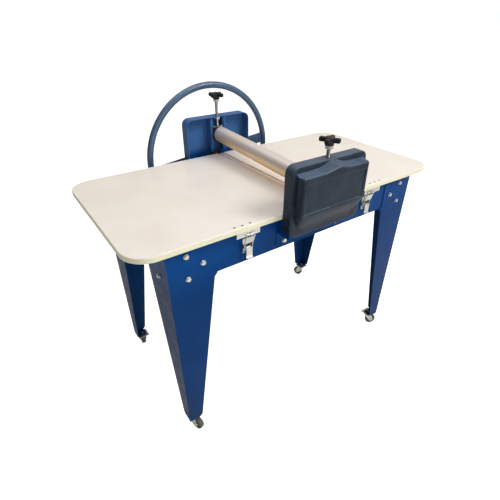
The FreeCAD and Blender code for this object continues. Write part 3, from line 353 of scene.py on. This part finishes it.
def nose_section(x):
    """The nose at one station, as (height, depth) rows from its ridge down to its foot."""
    ridge = 0.152 + 0.019 * bell(x / 0.045)
    brow = 0.145 + 0.010 * bell((x - 0.008) / 0.040)
    rows = [(ridge + 0.0012, TRAY_FACE), (ridge + 0.0003, TRAY_FACE - 0.0012),
            (ridge - 0.0008, TRAY_FACE - 0.0032)]
    start, end = rows[-1], (brow + 0.0010, NOSE_FACE + 0.0052)
    for share in (0.2, 0.4, 0.6, 0.8):
        sag = 0.0016 * 4 * share * (1 - share)
        rows.append((start[0] + (end[0] - start[0]) * share - sag,
                     start[1] + (end[1] - start[1]) * share))
    rows += [end, (brow - 0.0004, NOSE_FACE + 0.0028), (brow - 0.0026, NOSE_FACE + 0.0008),
             (brow - 0.0060, NOSE_FACE), (0.1270, NOSE_FACE), (0.1225, NOSE_FACE), (0.1210, NOSE_FACE + 0.0004)]
    panel = NOSE_FACE + (PANEL_DEEP if abs(x) < PANEL_HALF else 0.0)
    rows += [(height, panel) for height in (0.1196, 0.1000, 0.0700, 0.0400, 0.0194)]
    beyond = min(max(abs(x) - FOOT_FLAT, 0), FOOT_ROUND)
    round_up = FOOT_ROUND - math.sqrt(FOOT_ROUND ** 2 - beyond ** 2)
    for height, depth in ((0.0180, 0.0004), (0.0160, -0.0002), (0.0125, -0.0010), (0.0085, 0.0002),
                          (0.0020, 0.0016), (-0.0080, 0.0050), (-0.0200, 0.0105), (-0.0320, 0.0170),
                          (-0.0440, 0.0245), (-0.0500, 0.0288), (-0.0535, 0.0315), (-0.0560, 0.0330)):
        lift = round_up * lay(-height, [(-0.018, 0.0), (0.0, 0.25), (0.056, 1.0)])
        rows.append((height + lift, NOSE_FACE + depth))
    return rows


def cover_front():
    """Rows of points over the cover's front, by station across and by height."""
    over = (0, 0.3, 0.5, 0.68, 0.82, 0.92, 0.975, 1.0)
    right = [0.008 * step for step in range(13)]
    right += [0.105, 0.112, 0.119, 0.125, 0.130, 0.134, 0.1368, 0.1382, 0.1415]
    right += [NOSE_HALF + NOSE_EDGE * share for share in over]
    right += [0.1575, 0.1600, 0.1620, 0.1640, 0.1655, 0.1668, 0.1678, 0.1685, COVER_HALF]
    grid = []
    for x in [-value for value in right[:0:-1]] + right:
        beyond = min(max((abs(x) - NOSE_HALF) / NOSE_EDGE, 0), 1)
        weight = (1 - beyond ** 2.2) ** (1 / 2.2)
        arc = CORNER - math.sqrt(CORNER ** 2 - max(abs(x) - (COVER_HALF - CORNER), 0) ** 2)
        top, low = COVER_HIGH - arc, COVER_LOW + arc
        rows = [(COVER_HIGH - step, None) for step in (0, 0.0008, 0.0020, 0.0040)]
        rows += nose_section(x)
        rows += [(COVER_LOW + step, None) for step in (0.0120, 0.0040, 0.0020, 0.0008, 0)]
        column = []
        for height, depth in rows:
            if height > UPPER:
                height = UPPER + (height - UPPER) * (top - UPPER) / (COVER_HIGH - UPPER)
            if height < LOWER:
                height = LOWER + (height - LOWER) * (low - LOWER) / (COVER_LOW - LOWER)
            front = tray_face(x, height)
            if depth is not None:
                front += (depth - TRAY_FACE) * weight
            column.append((x, front, TABLE_TOP + height))
        grid.append(column)
    return grid


def front_cover():
    """A thin moulded shell: the front, its rim turned back to the side frame, and the screw's hole."""
    grid = cover_front()
    build = bmesh.new()
    made = [[build.verts.new(point) for point in column] for column in grid]
    for a, b in zip(made, made[1:]):
        for i in range(len(a) - 1):
            build.faces.new((a[i], a[i + 1], b[i + 1], b[i]))
    rim = [column[0] for column in made] + made[-1][1:]
    rim += [column[-1] for column in made[-2::-1]] + made[0][-2:0:-1]
    before = rim
    for share in (0.04, 0.35, 0.68, 1.0):
        after = []
        for vert in rim:
            depth = vert.co.y + (COVER_BACK - vert.co.y) * share
            after.append(build.verts.new((vert.co.x, depth, vert.co.z)))
        for i in range(len(rim)):
            j = (i + 1) % len(rim)
            build.faces.new((before[i], before[j], after[j], after[i]))
        before = after
    bmesh.ops.recalc_face_normals(build, faces=build.faces)
    shell = object_from(build, "cover_shell", "cover_moulding")
    wall = shell.modifiers.new("wall", "SOLIDIFY")
    wall.thickness = COVER_WALL
    wall.offset = -1
    punch = drill("cover_punch", (0, SCREW_LINE, TABLE_TOP + COVER_HIGH), SCREW_HOLE, PUNCH_LONG)
    hole = shell.modifiers.new("hole", "BOOLEAN")
    hole.operation = "DIFFERENCE"
    hole.solver = "EXACT"
    hole.object = punch
    settled = bpy.data.meshes.new_from_object(shell.evaluated_get(bpy.context.evaluated_depsgraph_get()))
    shell.modifiers.clear()
    shell.data = settled
    bpy.data.objects.remove(punch)
    smooth(shell, 32)
    adopt(shell, "front_cover")
    return shell


def drill(name, middle, radius, length):
    """A short cylinder used only to cut a hole."""
    build = bmesh.new()
    bmesh.ops.create_cone(build, cap_ends=True, segments=48, radius1=radius, radius2=radius,
                          depth=length, matrix=Matrix.Translation(middle))
    return object_from(build, name, name)


def smooth(obj, angle):
    obj.data.shade_smooth()
    obj.data.set_sharp_from_angle(angle=math.radians(angle))


def adopt(piece, name):
    """A new piece takes the place, body, slot and finish of a frame node."""
    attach(piece, BODY_OF[name])
    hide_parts(name)
    piece.data.materials.clear()
    piece.data.materials.append(FINISHES[SLOT_OF[name]])


front_cover()


# ---- threaded screws ----------------------------------------------------------------------------

STEM_RADIUS = 0.007
THREAD_LEAD = 0.003
THREAD_DEEP = 0.0012
THREAD_SEGMENTS = 36
THREAD_STEPS = 6        # rows in each turn of the thread
FOOT_BREAK = 0.0005     # the broken edges of the round foot
FOOT_HIGH = 0.0049


def threaded_screw(name):
    """An adjusting screw whose stem is cut with a 3 mm thread, over its round foot."""
    low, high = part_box(name)
    middle_x, middle_y = (low.x + high.x) / 2, (low.y + high.y) / 2
    foot_radius = (high.x - low.x) / 2
    rows = [(0.0, 0.0), (0.0, foot_radius - FOOT_BREAK), (FOOT_BREAK, foot_radius),
            (0.0044, foot_radius), (FOOT_HIGH, foot_radius - FOOT_BREAK),
            (FOOT_HIGH, STEM_RADIUS - THREAD_DEEP)]
    step = THREAD_LEAD / THREAD_STEPS
    threads = int((high.z - low.z - 0.0065) / step)
    rows += [(0.0055 + i * step, None) for i in range(threads)]
    top = high.z - low.z
    rows += [(top - 0.0008, STEM_RADIUS - 0.0004), (top, STEM_RADIUS - 0.0012), (top, 0.0)]
    build = bmesh.new()
    rings = []
    for height, radius in rows:
        ring = []
        for k in range(THREAD_SEGMENTS):
            angle = TAU * k / THREAD_SEGMENTS
            if radius is None:
                phase = (height / THREAD_LEAD - k / THREAD_SEGMENTS) % 1
                reach = STEM_RADIUS - THREAD_DEEP * (1 - min(1.0, 1.35 * (1 - abs(2 * phase - 1))))
            else:
                reach = max(radius, 0.00001)
            ring.append(build.verts.new((middle_x + reach * math.cos(angle),
                                         middle_y + reach * math.sin(angle), low.z + height)))
        rings.append(ring)
    for a, b in zip(rings, rings[1:]):
        for k in range(THREAD_SEGMENTS):
            j = (k + 1) % THREAD_SEGMENTS
            build.faces.new((a[k], a[j], b[j], b[k]))
    build.faces.new(rings[0][::-1])
    build.faces.new(rings[-1])
    screw = object_from(build, name + "_thread", name + "_threaded")
    smooth(screw, 50)
    adopt(screw, name)


threaded_screw("front_adjusting_screw")
threaded_screw("rear_adjusting_screw")


# ---- stage, light and camera --------------------------------------------------------------------

def stage_floor():
    size = 60.0
    mesh = bpy.data.meshes.new("stage_floor")
    mesh.from_pydata([(-size, -size, 0), (size, -size, 0), (size, size, 0), (-size, size, 0)], [], [(0, 1, 2, 3)])
    floor = place("stage_floor", mesh)
    p = Paint("stage_paper", Roughness=0.95, Specular_IOR_Level=0.1, Emission_Color=(1, 1, 1, 1))
    seen = p.node("ShaderNodeLightPath").outputs["Is Camera Ray"]
    p.tree.links.new(p.maths("MULTIPLY", seen, 0.8), p.shader.inputs["Emission Strength"])
    mesh.materials.append(p.finish(p.mix(p.noise(3, 2), (0.93, 0.93, 0.93, 1), (0.96, 0.96, 0.96, 1))))


def area_light(name, spot, aim, width, power, colour):
    data = bpy.data.lights.new(name, "AREA")
    data.shape = "SQUARE"
    data.size = width
    data.energy = power
    data.color = colour
    lamp = place(name, data)
    lamp.location = spot
    lamp.rotation_mode = "QUATERNION"
    lamp.rotation_quaternion = (Vector(aim) - Vector(spot)).to_track_quat("-Z", "Y")


def set_light():
    """A white backdrop for the camera, a warm low fill from all round, and soft lamps."""
    world = bpy.data.worlds.new("studio")
    world.use_nodes = True
    tree = world.node_tree
    fill = tree.nodes["Background"]
    fill.inputs[0].default_value = (1.0, 0.86, 0.68, 1)
    facing = tree.nodes.new("ShaderNodeSeparateXYZ")
    tree.links.new(tree.nodes.new("ShaderNodeTexCoord").outputs["Generated"], facing.inputs[0])
    shade = tree.nodes.new("ShaderNodeMapRange")
    for socket, number in (("From Min", -0.9), ("From Max", 0.3), ("To Min", 0.06), ("To Max", 0.46)):
        shade.inputs[socket].default_value = number
    tree.links.new(facing.outputs[0], shade.inputs["Value"])
    tree.links.new(shade.outputs[0], fill.inputs[1])
    backdrop = tree.nodes.new("ShaderNodeBackground")
    backdrop.inputs[0].default_value = (1, 1, 1, 1)
    backdrop.inputs[1].default_value = 1.0
    choose = tree.nodes.new("ShaderNodeMixShader")
    tree.links.new(tree.nodes.new("ShaderNodeLightPath").outputs["Is Camera Ray"], choose.inputs[0])
    tree.links.new(fill.outputs[0], choose.inputs[1])
    tree.links.new(backdrop.outputs[0], choose.inputs[2])
    tree.links.new(choose.outputs[0], tree.nodes["World Output"].inputs[0])
    bpy.context.scene.world = world
    area_light("key", (1.7, -2.2, 3.7), (0, 0, 0.8), 1.6, 94, (1.0, 0.985, 0.98))
    area_light("over", (-0.4, 0.4, 4.4), (0, 0, 0.8), 3.0, 56, (0.97, 0.985, 1.0))
    area_light("front", (-0.6, -3.6, 1.4), (0, 0, 0.7), 1.6, 24, (0.95, 0.97, 1.0))


def set_camera():
    """The camera stands at the table's front left corner and looks down along the rollers."""
    azimuth, elevation, roll = math.radians(35.76), math.radians(32.21), math.radians(0.508)
    look = Vector((math.sin(azimuth) * math.cos(elevation), math.cos(azimuth) * math.cos(elevation),
                   -math.sin(elevation)))
    right = look.cross(Vector((0, 0, 1))).normalized()
    above = right.cross(look)
    right, above = (right * math.cos(roll) + above * math.sin(roll),
                    above * math.cos(roll) - right * math.sin(roll))
    data = bpy.data.cameras.new("camera")
    data.sensor_width = 36
    data.lens = 27.36
    data.shift_x, data.shift_y = -0.0082, -0.0016
    camera = place("camera", data)
    turn = Matrix((right, above, -look)).transposed().to_4x4()
    camera.matrix_world = Matrix.Translation((-0.9151, -1.2156, 1.4966)) @ turn
    bpy.context.scene.camera = camera
    bpy.context.scene.view_settings.view_transform = "Standard"


stage_floor()
set_light()
set_camera()
